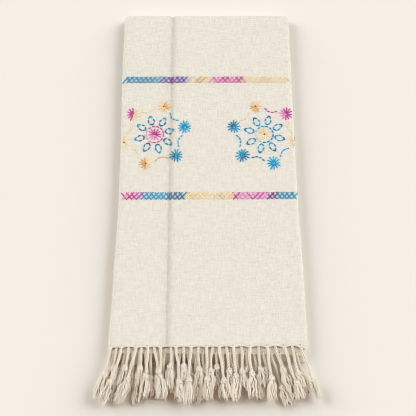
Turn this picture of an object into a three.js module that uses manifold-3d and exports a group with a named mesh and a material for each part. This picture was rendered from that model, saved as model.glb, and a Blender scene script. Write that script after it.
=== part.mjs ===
// A folded woollen shawl with a knotted fringe, in millimetres: X across the folded width, Y along its length
// towards the top fold, Z up. The origin is on the underside, below the middle of the folded cloth.
//
// The cloth is one long strip. Its two sides are turned under, so that they nearly meet along a crease, and the strip
// is then folded in half and in half again. From the top down its four runs are front, back, third and bottom. The
// front and back runs end in the two fringed hems, and the other two are joined by a fold that sticks out below them.
import * as THREE from "three";
import Module from "manifold-3d";
import { mergeVertices } from "three/addons/utils/BufferGeometryUtils.js";

const wasm = await Module();
wasm.setup();

// Driving dimensions
const foldedLength = 506; // from the front hem to the top fold
const ply = 1.3; // one thickness of cloth
const plyGap = 0.5; // between the two plies of a run
const runGap = 0.6; // between one run and the next
const backHemOut = 8; // how far the back hem sticks out past the front one
const lowerFoldOut = 24; // and the fold of the two lower runs
const hemStrip = 4; // the cloth's edge that the cords are knotted through
const seat = 0.3; // between the cloth and that edge

// The folded cloth seen from above: its two sides at several places along it
const outline = [
  { y: -253, left: -133.5, right: 133 },
  { y: -180, left: -131, right: 132 },
  { y: -55, left: -128.5, right: 128.5 },
  { y: 20, left: -129, right: 128 },
  { y: 150, left: -131.5, right: 127 },
  { y: 253, left: -131.5, right: 126.5 },
];

// The crease along the cloth, where its front sinks between the edges of the two turned sides
const crease = { x: -56, depth: 2.4, width: 3, sidesApart: 11 };
// The front's two edges hang a little over the runs below them.
const droop = { left: 3.2, leftReach: 8, right: 1.6, rightReach: 5 };
// The stack is softer in some places than in others, by this share of its height.
const softness = { share: 0.025, across: 71, along: 118 };

const halfPly = ply / 2;
const sideRadius = (ply + plyGap) / 2; // of the middle of the cloth, where a side turns under
const runPitch = 2 * ply + plyGap + runGap;
const levelHeight = (level) => ply + plyGap / 2 + level * runPitch;
const frontHem = -foldedLength / 2;
const backHem = frontHem - backHemOut;
const foldRadius = (from, to) => (Math.abs(to - from) * runPitch) / 2;
const foldCover = sideRadius + halfPly;
const topFold = foldedLength / 2 - foldRadius(0, 3) - foldCover;
const innerFold = topFold - 2;
const lowerFold = frontHem - lowerFoldOut + foldRadius(0, 1) + foldCover;

// The four runs in the order that the strip takes. faceUp is 1 where the shawl's right side looks up. The insets say
// how far its two sides lie inside the outline, first at its start and then at its end, and the tilts how far its two
// ends slant.
const runs = [
  { level: 3, faceUp: 1, from: frontHem, to: topFold, steps: 10, insets: [0, 0, 0, 0], tilts: [0.004, 0] },
  { level: 0, faceUp: -1, from: topFold, to: lowerFold, steps: 3, insets: [3, 2.5, 3, 1.5], tilts: [0, 0.016] },
  { level: 1, faceUp: 1, from: lowerFold, to: innerFold, steps: 3, insets: [3, 1.5, 7, 5], tilts: [0.016, 0] },
  { level: 2, faceUp: -1, from: innerFold, to: backHem, steps: 5, insets: [7, 5, 5.5, 4], tilts: [0, -0.01] },
];
// Steps round the fold after each of the first three runs
const foldSteps = [8, 6, 5];
// Where a section has its points: distances from an edge, and from the crease
const sectionAt = { faceEdge: [2, 4.5, 8, 26], turnedEdge: [2, 4.5, 8, 34], crease: [1.3, 2.6, 4, 5.5, 8] };

const mix = (a, b, t) => a + (b - a) * t;
const smooth = (t) => t * t * (3 - 2 * t);
const clamp01 = (t) => Math.min(1, Math.max(0, t));

// A side of the cloth at y, smoothly between the rows of the outline.
function outlineAt(y, side) {
  const last = outline.length - 1;
  const at = clamp01((y - outline[0].y) / (outline[last].y - outline[0].y));
  if (at === 0) return outline[0][side];
  if (at === 1) return outline[last][side];
  const i = outline.findIndex((row) => row.y >= y);
  const [a, b] = [outline[i - 1], outline[i]];
  return mix(a[side], b[side], smooth((y - a.y) / (b.y - a.y)));
}

// One place along the strip: the middle of the run there, the way that its face looks, and what its section needs. Only
// the front run is soft, with the crease and the hanging edges.
function runStation(run, y) {
  const t = (y - run.from) / (run.to - run.from);
  return {
    y,
    z: levelHeight(run.level),
    out: [0, run.faceUp],
    left: outlineAt(y, "left") + mix(run.insets[0], run.insets[2], t),
    right: outlineAt(y, "right") - mix(run.insets[1], run.insets[3], t),
    tilt: mix(run.tilts[0], run.tilts[1], t),
    soft: run.level === 3 ? 1 : 0,
  };
}

// The places along a run, from its start to its end, or from another y.
function runStations(run, from = run.from) {
  return Array.from({ length: run.steps + 1 }, (_, k) => runStation(run, mix(from, run.to, k / run.steps)));
}

// The places round the fold between two runs, without its two ends.
function foldStations(a, b, steps) {
  const start = runStation(a, a.to);
  const end = runStation(b, b.from);
  const way = Math.sign(a.to - a.from);
  const radius = foldRadius(a.level, b.level);
  const first = Math.sign(start.z - end.z) * (Math.PI / 2);
  const faceOutside = a.faceUp === Math.sign(first) ? 1 : -1;
  return Array.from({ length: steps - 1 }, (_, k) => {
    const t = (k + 1) / steps;
    const angle = first * (1 - 2 * t);
    const [outY, outZ] = [way * Math.cos(angle), Math.sin(angle)];
    return {
      y: a.to + radius * outY,
      z: (start.z + end.z) / 2 + radius * outZ,
      out: [faceOutside * outY, faceOutside * outZ],
      left: mix(start.left, end.left, t),
      right: mix(start.right, end.right, t),
      tilt: mix(start.tilt, end.tilt, t),
      soft: mix(start.soft, end.soft, smooth(clamp01(2 * t - 0.5))),
    };
  });
}

// How far the face ply lies below its plain height at x, in the crease.
function creaseDepth(station, x) {
  return station.soft * crease.depth * Math.exp(-(((x - crease.x) / crease.width) ** 2));
}

// How far both plies hang at x, near the two edges.
function edgeDroop(station, x) {
  const left = Math.max(0, 1 - (x - station.left) / droop.leftReach);
  const right = Math.max(0, 1 - (station.right - x) / droop.rightReach);
  return station.soft * (droop.left * left ** 2 + droop.right * right ** 2);
}

// Evenly spaced numbers, with both ends.
const spread = (from, to, steps) => Array.from({ length: steps + 1 }, (_, k) => mix(from, to, k / steps));

// The middle of the cloth across one section: x, and n towards the shawl's right side.
function sectionMiddle(station) {
  const [left, right] = [station.left + sideRadius, station.right - sideRadius];
  const [leftSide, rightSide] = [crease.x - crease.sidesApart / 2, crease.x + crease.sidesApart / 2];
  const { faceEdge, turnedEdge } = sectionAt;
  const face = [
    ...faceEdge.map((d) => left + d),
    ...sectionAt.crease.toReversed().map((d) => crease.x - d),
    crease.x,
    ...sectionAt.crease.map((d) => crease.x + d),
    ...spread(crease.x + faceEdge[3], right - faceEdge[3], 3),
    ...faceEdge.slice(0, 3).toReversed().map((d) => right - d),
  ];
  const turn = [-90, -45, 0, 45, 90].map(THREE.MathUtils.degToRad);
  const points = [
    ...[leftSide, ...turnedEdge.toReversed().map((d) => left + d)].map((x) => ({ x, n: -sideRadius })),
    ...turn.map((a) => ({ x: left - sideRadius * Math.cos(a), n: sideRadius * Math.sin(a) })),
    ...face.map((x) => ({ x, n: sideRadius - creaseDepth(station, x) })),
    ...turn.map((a) => ({ x: right + sideRadius * Math.cos(a), n: -sideRadius * Math.sin(a) })),
    ...[...turnedEdge.map((d) => right - d), (right + rightSide) / 2, rightSide].map((x) => ({ x, n: -sideRadius })),
  ];
  return points.map(({ x, n }) => ({ x, n: n - edgeDroop(station, x) }));
}

// The stack's own softness: a height above the table, a little changed.
function soften(x, y, z) {
  const wave = Math.sin(x / softness.across + 0.6) * Math.cos(y / softness.along - 0.4);
  return z * (1 + softness.share * wave);
}

// A point of a section, in the part's frame.
function place(station, x, n) {
  const y = station.y + n * station.out[0] + station.tilt * x;
  return [x, y, soften(x, y, station.z + n * station.out[1])];
}

// Closed skin over rings of points that follow each other, each ring of the same length.
function skin(rings, capPairs) {
  const size = rings[0].length;
  const index = [];
  for (let k = 0; k + 1 < rings.length; k++) {
    for (let i = 0; i < size; i++) {
      const [a, b] = [k * size + i, k * size + ((i + 1) % size)];
      index.push(a, b, a + size, b, b + size, a + size);
    }
  }
  const last = (rings.length - 1) * size;
  for (const [a, b, c] of capPairs) {
    index.push(a, c, b, last + a, last + b, last + c);
  }
  const geometry = new THREE.BufferGeometry();
  geometry.setAttribute("position", new THREE.Float32BufferAttribute(rings.flat(2), 3));
  geometry.setIndex(index);
  return geometry;
}

// The cloth swept along its stations, with its thickness on both sides of the middle.
function sweptCloth(stations) {
  const rings = stations.map((station) => {
    const middle = sectionMiddle(station);
    const offset = (side) =>
      middle.map((p, i) => {
        const before = middle[Math.max(0, i - 1)];
        const after = middle[Math.min(middle.length - 1, i + 1)];
        const along = new THREE.Vector2(after.x - before.x, after.n - before.n).normalize();
        return place(station, p.x - side * along.y * halfPly, p.n + side * along.x * halfPly);
      });
    return [...offset(1), ...offset(-1).reverse()];
  });
  const size = rings[0].length;
  const caps = [];
  for (let i = 0; i + 1 < size / 2; i++) {
    const [a, b, c, d] = [i, i + 1, size - 2 - i, size - 1 - i];
    caps.push([a, b, c], [a, c, d]);
  }
  return skin(rings, caps);
}

// The whole strip, from just inside the front hem round its three folds to just inside the back hem.
function clothStations() {
  const stations = runStations(runs[0], frontHem + hemStrip + seat);
  const lastRun = { ...runs[3], to: backHem + hemStrip + seat };
  [runs[1], runs[2], lastRun].forEach((run, k) => {
    stations.push(...foldStations(runs[k], run, foldSteps[k]), ...runStations(run));
  });
  return stations;
}

// The fringe: where the front cords leave the hem, one number for each cord
const frontCords = [-129.5, -115.5, -96, -80.5, -63.5, -42.5, -22.5, -2, 15, 33.5, 56, 79, 101.5, 123.5];

// Its four rows. between is how far each cord lies from one front cord towards the next, and knotAt how far its knot
// lies past the front hem. The upper rows lie on the lower ones.
const rows = {
  frontFace: { run: 0, hem: frontHem, face: 1, upper: true, between: 0, count: 14, knotAt: 43, seed: 1 },
  frontTurned: { run: 0, hem: frontHem, face: -1, upper: true, between: 0.5, count: 13, knotAt: 29, seed: 2 },
  backTurned: { run: 3, hem: backHem, face: -1, upper: false, between: 0.75, count: 13, knotAt: 34, seed: 3 },
  backFace: { run: 3, hem: backHem, face: 1, upper: false, between: 0.25, count: 13, knotAt: 46, seed: 4 },
};

const cord = { half: 1.3, rootHalf: 0.4, into: 1.4, clearAt: 3, settledAt: 9, besideCrease: 1.2 };
const knot = { varies: 3, swellsAt: 3.3, before: 1.7, after: 1.9, offBed: 5 };
const tassel = { long: 20, varies: 2.5, startsAt: 3.6, neckAt: 4.2 };
// How the cords spread: aside by spread at halfWidth, and all by drift, over a length of over
const fan = { spread: 22, halfWidth: 130, power: 1.6, drift: 4.5, sway: 1.8, over: 70, bend: 1.2 };

// Half widths and half heights of a knot and its tassel
const girth = {
  knotStart: { w: 2.2, h: 1.8 },
  knotMiddle: { w: 2.9, h: 2.1 },
  knotEnd: { w: 1.9, h: 1.6 },
  neck: { w: 1.9, h: 1.6 },
  brush: { w: 3.3, h: 2.2 },
  tip: { w: 4, h: 2.3 },
};

// What each level of cords lies on: the lower one on the fold under the hems and then on the table, the upper one on
// the back hem and then on the lower one.
const lowerBed = { early: 7.1, leaves: 25, restsAt: 38, rest: 0 };
const upperBed = { early: 9.9, leaves: 30, restsAt: 40, rest: 5.6, overHem: 10.9 };

// A number from -1 to 1 that looks random, and is the same each time.
function jitter(k, seed) {
  const s = Math.sin(k * 12.9898 + seed * 78.233) * 43758.5453;
  return 2 * (s - Math.floor(s)) - 1;
}

// The height of a bed at a distance past the front hem.
function bedHeight(bed, s) {
  return mix(bed.early, bed.rest, clamp01((s - bed.leaves) / (bed.restsAt - bed.leaves)));
}

// Where a cord of a row leaves its hem. The turned sides have no cloth at the crease, so their cords stay beside it.
function cordRootX(row, k) {
  const x = mix(frontCords[k], frontCords[Math.min(k + 1, frontCords.length - 1)], row.between);
  const reach = crease.sidesApart / 2 + cord.besideCrease;
  const fromCrease = x - crease.x;
  if (row.face > 0 || Math.abs(fromCrease) >= reach) return x;
  return crease.x + Math.sign(fromCrease) * reach;
}

// The places along one cord, its knot and its tassel: middle, half width and half height.
function cordPath(row, k) {
  const run = runs[row.run];
  const bed = row.upper ? upperBed : lowerBed;
  const station = runStation(run, row.hem);
  const rootX = cordRootX(row, k);
  const height = row.face * sideRadius - (row.face > 0 ? creaseDepth(station, rootX) : 0) - edgeDroop(station, rootX);
  const rootZ = station.z + height * station.out[1];
  const rootS = frontHem - (row.hem + station.tilt * rootX);
  const knotAt = row.knotAt + knot.varies * jitter(k, row.seed);
  const brushAt = knotAt + tassel.startsAt;
  const tip = brushAt + tassel.long + tassel.varies * jitter(k, row.seed + 20);
  const aside = rootX / fan.halfWidth;
  const lean =
    fan.spread * Math.sign(aside) * Math.abs(aside) ** fan.power + fan.drift + fan.sway * jitter(k, row.seed + 10);

  const at = (s, { w, h }, z = bedHeight(bed, s) + h) => {
    const out = Math.max(0, s - rootS) / fan.over;
    return { x: rootX + lean * out ** fan.bend, y: frontHem - s, z, w, h };
  };
  const root = { w: cord.rootHalf, h: cord.rootHalf };
  const plain = { w: cord.half, h: cord.half };
  const clear = (row.upper ? upperBed.overHem : lowerBed.early) + cord.half;
  return [
    at(rootS - cord.into, root, rootZ),
    at(rootS + cord.clearAt, plain, Math.max(mix(rootZ, clear, 0.5), clear)),
    at(rootS + cord.settledAt, plain, clear),
    at(Math.min(bed.leaves, knotAt - knot.offBed), plain),
    at(knotAt - knot.swellsAt, plain),
    at(knotAt - knot.before, girth.knotStart),
    at(knotAt, girth.knotMiddle),
    at(knotAt + knot.after, girth.knotEnd),
    at(knotAt + tassel.neckAt, girth.neck),
    at(mix(brushAt, tip, 0.5), girth.brush),
    at(tip, girth.tip),
  ];
}

// A cord of four sides, upright, through its places.
function cordGeometry(path) {
  const rings = path.map((p, i) => {
    const before = path[Math.max(0, i - 1)];
    const after = path[Math.min(path.length - 1, i + 1)];
    const across = new THREE.Vector2(before.y - after.y, after.x - before.x).normalize();
    const corner = (side, up) => {
      const [x, y] = [p.x + side * across.x * p.w, p.y + side * across.y * p.w];
      return [x, y, soften(x, y, p.z + up * p.h)];
    };
    return [corner(1, 1), corner(-1, 1), corner(-1, -1), corner(1, -1)];
  });
  return skin(rings, [[0, 1, 2], [0, 2, 3]]);
}

function toSolid(geometry) {
  const merged = mergeVertices(geometry, 1e-3);
  const vertProperties = merged.attributes.position.array;
  const triVerts = new Uint32Array(merged.index.array);
  return new wasm.Manifold(new wasm.Mesh({ numProp: 3, vertProperties, triVerts }));
}

function toGeometry(solid) {
  const { numProp, vertProperties, triVerts } = solid.getMesh();
  const geometry = new THREE.BufferGeometry();
  geometry.setAttribute("position", new THREE.BufferAttribute(vertProperties, numProp));
  geometry.setIndex(new THREE.BufferAttribute(triVerts, 1));
  return geometry;
}

// One end of the shawl: the strip at its hem with the cords of its two rows.
function fringe(run, hem, ends) {
  const strip = [hem + hemStrip, hem].map((y) => runStation(run, y));
  let solid = toSolid(sweptCloth(run.from === hem ? strip.reverse() : strip));
  for (const row of ends) {
    for (let k = 0; k < row.count; k++) {
      solid = solid.add(toSolid(cordGeometry(cordPath(row, k))));
    }
  }
  return toGeometry(solid);
}

const wool = new THREE.MeshStandardMaterial({ color: 0xece6d8, roughness: 0.95, metalness: 0 });
const frontYarn = new THREE.MeshStandardMaterial({ color: 0xf0eadc, roughness: 0.95, metalness: 0 });
const backYarn = new THREE.MeshStandardMaterial({ color: 0xe6ddcb, roughness: 0.95, metalness: 0 });

function piece(name, geometry, material) {
  const mesh = new THREE.Mesh(geometry, material);
  mesh.name = name;
  return mesh;
}

const shawl = new THREE.Group();
shawl.add(
  piece("cloth", sweptCloth(clothStations()), wool),
  piece("front_fringe", fringe(runs[0], frontHem, [rows.frontFace, rows.frontTurned]), frontYarn),
  piece("back_fringe", fringe(runs[3], backHem, [rows.backTurned, rows.backFace]), backYarn),
);

export default shawl;
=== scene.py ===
"""A folded woollen shawl with embroidered borders and a knotted fringe, dressed around its solid frame.

Sizes are in millimetres, in the frame's own axes: X across the folded cloth, Y along it towards its top
fold and Z up. Points become metres only where a mesh is made of them.
"""

from __future__ import annotations

import logging
import math
from dataclasses import dataclass
from enum import Enum
from functools import partial, reduce
from random import Random
from typing import Sequence

import bpy
import numpy as np
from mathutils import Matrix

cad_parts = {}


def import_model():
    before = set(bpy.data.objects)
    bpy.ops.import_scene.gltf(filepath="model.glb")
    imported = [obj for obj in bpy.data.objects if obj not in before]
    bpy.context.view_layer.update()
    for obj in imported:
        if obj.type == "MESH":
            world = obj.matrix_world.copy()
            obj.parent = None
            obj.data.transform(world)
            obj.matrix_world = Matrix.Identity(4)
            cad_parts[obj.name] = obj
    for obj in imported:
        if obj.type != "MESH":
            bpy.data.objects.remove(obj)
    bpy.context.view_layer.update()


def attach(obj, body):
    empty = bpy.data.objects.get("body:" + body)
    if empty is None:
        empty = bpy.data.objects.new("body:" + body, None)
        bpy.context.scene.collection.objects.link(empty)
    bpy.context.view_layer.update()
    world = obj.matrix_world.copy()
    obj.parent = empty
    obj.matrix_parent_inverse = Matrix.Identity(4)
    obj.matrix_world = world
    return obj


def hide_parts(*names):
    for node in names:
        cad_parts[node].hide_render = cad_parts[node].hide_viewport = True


LOG = logging.getLogger("shawl")
MM = 0.001
BODY = "root"
FLAT_UV = "flat_cloth"
TONE = "tone"
SHADE = "shade"
GIRTH = "girth"
AXIS = "axis"
GROOVE_SHADE_MASK = "groove_shade_mask"
REACH = "reach"

Material = bpy.types.Material
Object = bpy.types.Object
Socket = bpy.types.NodeSocket
Triple = tuple[float, float, float]


def mix(a: float, b: float, t: float) -> float:
    """Return the number that lies a share t of the way from a to b."""
    return a + (b - a) * t


def smooth(t: float) -> float:
    """Return t with soft ends, where t is from 0 to 1."""
    return t * t * (3 - 2 * t)


def clamp01(t: float) -> float:
    """Return t held between 0 and 1."""
    return min(1.0, max(0.0, t))


def jitter(k: int, seed: int) -> float:
    """Return the same random-looking number from -1 to 1 that the solid cords use.

    Args:
        k: The cord's place in its row.
        seed: The row's seed.
    """
    s = math.sin(k * 12.9898 + seed * 78.233) * 43758.5453
    return 2 * (s - math.floor(s)) - 1


def linear(red: int, green: int, blue: int) -> tuple[float, float, float, float]:
    """Return a linear colour with alpha from a screen colour of 0 to 255 each."""

    def channel(value: int) -> float:
        """Return one of the colour's three parts as a linear value."""
        c = value / 255
        return c / 12.92 if c <= 0.04045 else ((c + 0.055) / 1.055) ** 2.4

    return channel(red), channel(green), channel(blue), 1.0


def lengths_along(points: np.ndarray) -> np.ndarray:
    """Return each point's distance along the line of all of them."""
    return np.concatenate([[0], np.cumsum(np.linalg.norm(np.diff(points, axis=0), axis=1))])


class Shade(Enum):
    """The colours of the embroidery thread, which change along its length."""

    TEAL = (0, 138, 178)
    BLUE = (0, 168, 220)
    CYAN = (0, 184, 226)
    MAGENTA = (212, 68, 170)
    PINK = (242, 156, 212)
    PLUM = (132, 62, 152)
    NAVY = (80, 92, 184)
    LILAC = (180, 152, 214)
    GREY_GREEN = (198, 212, 204)
    GOLD = (254, 226, 176)
    CREAM = (255, 240, 200)
    OCHRE = (240, 184, 118)
    UMBER = (140, 66, 36)

    def colour(self) -> tuple[float, float, float, float]:
        """Return the shade as a linear colour."""
        return linear(*self.value)


@dataclass(frozen=True)
class OutlineRow:
    """The left and right sides of the folded cloth at one place along it, seen from above."""

    y: float
    left: float
    right: float


@dataclass(frozen=True)
class Run:
    """One of the strip's four lengths between folds.

    Attributes:
        level: Its place from the bottom, from 0.
        face_up: 1 where the shawl's right side is up, -1 where it is down.
        start: Where it starts along the cloth, in the strip's own order.
        end: Where it ends.
        insets: How far its left and right sides lie inside the outline at its start, then at its end.
        tilts: How far its sections lean along the cloth for each millimetre across, at its two ends.
        steps: The number of parts that it is divided into.
    """

    level: int
    face_up: int
    start: float
    end: float
    insets: tuple[float, float, float, float]
    tilts: tuple[float, float]
    steps: int


@dataclass(frozen=True)
class Place:
    """One place along the strip: its middle, its right side's direction and what its section needs.

    The tilt is how far the section leans along the cloth for each millimetre across. The other shares, from
    0 to 1, are how much it takes of the front's softness and of its hem's scallops.
    """

    y: float
    z: float
    out_y: float
    out_z: float
    left: float
    right: float
    tilt: float
    soft: float
    hem: str = ""
    hem_pull: float = 0.0


@dataclass(frozen=True)
class ClothForm:
    """The folded strip of cloth, with the same sizes as its solid."""

    folded_length: float = 506
    ply: float = 1.3
    ply_gap: float = 0.5
    run_gap: float = 0.6
    top_reach: float = 3
    inner_fold_short: float = 2
    back_hem_out: float = 8
    lower_fold_out: float = 24
    crease_x: float = -56
    crease_depth: float = 2.4
    crease_width: float = 3.3
    sides_apart: float = 11
    droop_left: float = 3.2
    droop_left_reach: float = 8
    droop_right: float = 1.6
    droop_right_reach: float = 5
    softness: float = 0.025
    softness_across: float = 71
    softness_along: float = 118
    scallop: float = 3.0
    pulled: float = 3.2
    scallop_fades: float = 3.5
    full_scallop: float = 18
    least_scallop: float = 0.3
    swell: float = 0.45
    swell_size: tuple[float, float] = (31, 49)
    slant: float = 0.25
    slant_size: tuple[float, float] = (17, -63)
    hem_rings: tuple[float, ...] = (0, 0.7, 1.6, 2.8, 3.7, 4.6, 5.4, 6.2, 7, 7.8, 9, 10.5)
    after_rings: float = 3
    fold_steps: tuple[int, int, int] = (14, 10, 8)
    edge_columns: tuple[float, ...] = (0.9, 2, 3.2, 4.6, 6.2, 8.2)
    edge_zone: float = 11
    crease_zone: float = 10
    zone_gap: float = 3
    outline: tuple[OutlineRow, ...] = (
        OutlineRow(-253, -133.5, 133),
        OutlineRow(-180, -131, 132),
        OutlineRow(-55, -128.5, 128.5),
        OutlineRow(20, -129, 128),
        OutlineRow(150, -131.5, 127),
        OutlineRow(253, -131.5, 126.5),
    )
    front_roots: tuple[float, ...] = (
        -129.5, -115.5, -96, -80.5, -63.5, -42.5, -22.5, -2, 15, 33.5, 56, 79, 101.5, 123.5,
    )

    @property
    def side_radius(self) -> float:
        """The radius of the middle of the cloth where a side turns under."""
        return (self.ply + self.ply_gap) / 2

    @property
    def run_pitch(self) -> float:
        """The height from one run to the next."""
        return 2 * self.ply + self.ply_gap + self.run_gap

    @property
    def front_hem(self) -> float:
        """Where the front hem lies."""
        return -self.folded_length / 2

    @property
    def back_hem(self) -> float:
        """Where the back hem lies."""
        return self.front_hem - self.back_hem_out

    def level_height(self, level: int) -> float:
        """Return the height of the middle of a run."""
        return self.ply + self.ply_gap / 2 + level * self.run_pitch

    def fold_radius(self, a: int, b: int) -> float:
        """Return the radius of the fold that joins two levels."""
        return abs(b - a) * self.run_pitch / 2

    def runs(self) -> tuple[Run, Run, Run, Run]:
        """Return the four runs: front, bottom, third and back."""
        cover = self.side_radius + self.ply / 2
        top = self.folded_length / 2 + self.top_reach - self.fold_radius(0, 3) - cover
        inner = top - self.inner_fold_short
        lower = self.front_hem - self.lower_fold_out + self.fold_radius(0, 1) + cover
        return (
            Run(3, 1, self.front_hem, top, insets=(0, 0, 0, 0), tilts=(0.004, 0), steps=150),
            Run(0, -1, top, lower, insets=(3, 2.5, 3, 1.5), tilts=(0, 0.016), steps=26),
            Run(1, 1, lower, inner, insets=(3, 1.5, 7, 5), tilts=(0.016, 0), steps=22),
            Run(2, -1, inner, self.back_hem, insets=(7, 5, 5.5, 4), tilts=(0, -0.01), steps=26),
        )

    def outline_at(self, y: float, side: str) -> float:
        """Return where one side of the cloth lies at y.

        Args:
            y: The place along the cloth.
            side: "left" or "right".
        """
        rows = self.outline
        if y <= rows[0].y:
            return getattr(rows[0], side)
        for a, b in zip(rows, rows[1:]):
            if y <= b.y:
                return mix(getattr(a, side), getattr(b, side), smooth((y - a.y) / (b.y - a.y)))
        return getattr(rows[-1], side)

    def run_place(self, run: Run, y: float) -> Place:
        """Return the place at y along a run."""
        t = (y - run.start) / (run.end - run.start)
        hem = {3: "front", 2: "back"}.get(run.level, "")
        hem_y = self.front_hem if hem == "front" else self.back_hem
        pull = math.exp(-max(0.0, y - hem_y) / self.scallop_fades) if hem else 0.0
        return Place(
            y=y,
            z=self.level_height(run.level),
            out_y=0,
            out_z=run.face_up,
            left=self.outline_at(y, "left") + mix(run.insets[0], run.insets[2], t),
            right=self.outline_at(y, "right") - mix(run.insets[1], run.insets[3], t),
            tilt=mix(run.tilts[0], run.tilts[1], t),
            soft=1.0 if run.level == 3 else 0.0,
            hem=hem,
            hem_pull=pull,
        )

    def front_place(self, y: float) -> Place:
        """Return the place at y on the front of the folded shawl."""
        return self.run_place(self.runs()[0], y)

    def hem_place(self, run: int) -> Place:
        """Return the place at the hem of the first or the last run."""
        found = self.runs()[run]
        return self.run_place(found, found.start if run == 0 else found.end)

    def fold_places(self, a: Run, b: Run, steps: int) -> list[Place]:
        """Return the places round the fold between two runs, without its two ends."""
        start, end = self.run_place(a, a.end), self.run_place(b, b.start)
        way = math.copysign(1, a.end - a.start)
        radius = self.fold_radius(a.level, b.level)
        first = math.copysign(math.pi / 2, start.z - end.z)
        face_outside = 1 if a.face_up == math.copysign(1, first) else -1
        places = []
        for k in range(1, steps):
            t = k / steps
            angle = first * (1 - 2 * t)
            out_y, out_z = way * math.cos(angle), math.sin(angle)
            places.append(
                Place(
                    y=a.end + radius * out_y,
                    z=(start.z + end.z) / 2 + radius * out_z,
                    out_y=face_outside * out_y,
                    out_z=face_outside * out_z,
                    left=mix(start.left, end.left, t),
                    right=mix(start.right, end.right, t),
                    tilt=mix(start.tilt, end.tilt, t),
                    soft=mix(start.soft, end.soft, smooth(clamp01(2 * t - 0.5))),
                )
            )
        return places

    def strip_places(self) -> list[Place]:
        """Return the places along the whole strip, from the front hem to the back one."""
        runs = self.runs()
        last = len(runs) - 1
        rings = self.hem_rings[-1] + self.after_rings
        places = [self.run_place(runs[0], self.front_hem + d) for d in self.hem_rings]
        for k, run in enumerate(runs):
            way = math.copysign(1, run.end - run.start)
            start = run.start + way * (rings if k == 0 else 0)
            end = run.end - way * (rings if k == last else 0)
            places += [self.run_place(run, float(y)) for y in np.linspace(start, end, run.steps + 1)]
            if k < last:
                places += self.fold_places(run, runs[k + 1], self.fold_steps[k])
        return places + [self.run_place(runs[last], self.back_hem + d) for d in reversed(self.hem_rings)]

    def section_x(self, place: Place) -> tuple[np.ndarray, np.ndarray]:
        """Return x along the middle of a section, and its plain height on the face side."""
        r = self.side_radius
        left, right = place.left + r, place.right - r
        columns = np.array(self.edge_columns)
        near_left, near_right = left + columns, right - columns
        zone_left, zone_right = left + self.edge_zone, right - self.edge_zone
        turn = np.linspace(-math.pi / 2, math.pi / 2, 9)
        half_gap = self.sides_apart / 2
        crease = self.crease_x + np.linspace(-self.crease_zone, self.crease_zone, 21)
        before = np.linspace(zone_left, crease[0] - self.zone_gap, 18)
        after = np.linspace(crease[-1] + self.zone_gap, zone_right, 50)
        face = np.concatenate([near_left, before, crease, after, near_right[::-1]])
        turned_left = np.append(np.linspace(self.crease_x - half_gap, zone_left, 9), near_left[::-1])
        turned_right = np.append(near_right, np.linspace(zone_right, self.crease_x + half_gap, 18))
        xs = [turned_left, left - r * np.cos(turn), face, right + r * np.cos(turn), turned_right]
        ns = [
            np.full(len(turned_left), -r),
            r * np.sin(turn),
            np.full(len(face), r) - self.crease_at(place, face),
            -r * np.sin(turn),
            np.full(len(turned_right), -r),
        ]
        return np.concatenate(xs), np.concatenate(ns)

    def crease_at(self, place: Place, x: np.ndarray) -> np.ndarray:
        """Return how far the face sinks at x, in the crease."""
        return place.soft * self.crease_depth * np.exp(-(((x - self.crease_x) / self.crease_width) ** 2))

    def droop_at(self, place: Place, x: np.ndarray) -> np.ndarray:
        """Return how far both plies hang at x, near the two edges."""
        left = np.maximum(0, 1 - (x - place.left) / self.droop_left_reach)
        right = np.maximum(0, 1 - (place.right - x) / self.droop_right_reach)
        return place.soft * (self.droop_left * left**2 + self.droop_right * right**2)

    def hem_scallop(self, place: Place, x: np.ndarray) -> np.ndarray:
        """Return how far the hem moves along the cloth at x: cords pull it out, and it draws back between."""
        if not place.hem:
            return np.zeros_like(x)
        roots = np.array(self.front_roots)
        if place.hem == "back":
            gaps = np.append(np.diff(roots), 0)
            roots = np.sort(np.concatenate([roots + 0.25 * gaps, roots[:-1] + 0.75 * gaps[:-1]]))
        index = np.clip(np.searchsorted(roots, x), 1, len(roots) - 1)
        a, b = roots[index - 1], roots[index]
        t = np.clip((x - a) / (b - a), 0, 1)
        arch = np.sqrt(np.maximum(0, 1 - (2 * t - 1) ** 2))
        rise = arch * np.clip((b - a) / self.full_scallop, self.least_scallop, 1)
        return (self.scallop * rise - self.pulled) * place.hem_pull

    def relief(self, x: np.ndarray, y: np.ndarray) -> np.ndarray:
        """Return the low swells of the front, as heights."""
        wide = 0.5 + 0.5 * np.sin(x / self.swell_size[0] + 1.3) * np.sin(y / self.swell_size[1] + 0.5)
        slant = 0.5 + 0.5 * np.sin(x / self.slant_size[0] + y / self.slant_size[1] + 0.7)
        return self.swell * wide + self.slant * slant

    def points(self, place: Place, x: np.ndarray, n: np.ndarray) -> np.ndarray:
        """Return points of a section in the part's frame, one row for each.

        Args:
            place: The place along the strip.
            x: Across the cloth.
            n: Out of the section's middle, towards the shawl's right side.
        """
        y = place.y + n * place.out_y + place.tilt * x + self.hem_scallop(place, x)
        z = place.z + n * place.out_z
        wave = np.sin(x / self.softness_across + 0.6) * np.cos(y / self.softness_along - 0.4)
        z = z * (1 + self.softness * wave) + place.soft * self.relief(x, y)
        return np.stack([x, y, z], axis=1)

    def section(self, place: Place) -> tuple[np.ndarray, np.ndarray, np.ndarray, np.ndarray, np.ndarray]:
        """Return a section's middle and its outward directions.

        Returns:
            x, n, the outward direction's x and n, and the distance across the flat cloth from x = 0.
        """
        x, n = self.section_x(place)
        n = n - self.droop_at(place, x)
        ahead = np.diff(np.stack([x, n]), axis=1)
        along = np.concatenate([ahead[:, :1], ahead[:, :-1] + ahead[:, 1:], ahead[:, -1:]], axis=1)
        along = along / np.linalg.norm(along, axis=0)
        across = np.concatenate([[0], np.cumsum(np.linalg.norm(ahead, axis=0))])
        face = n > 0
        middle = np.interp(0, x[face], across[face])
        return x, n, -along[1], along[0], across - middle

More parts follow.
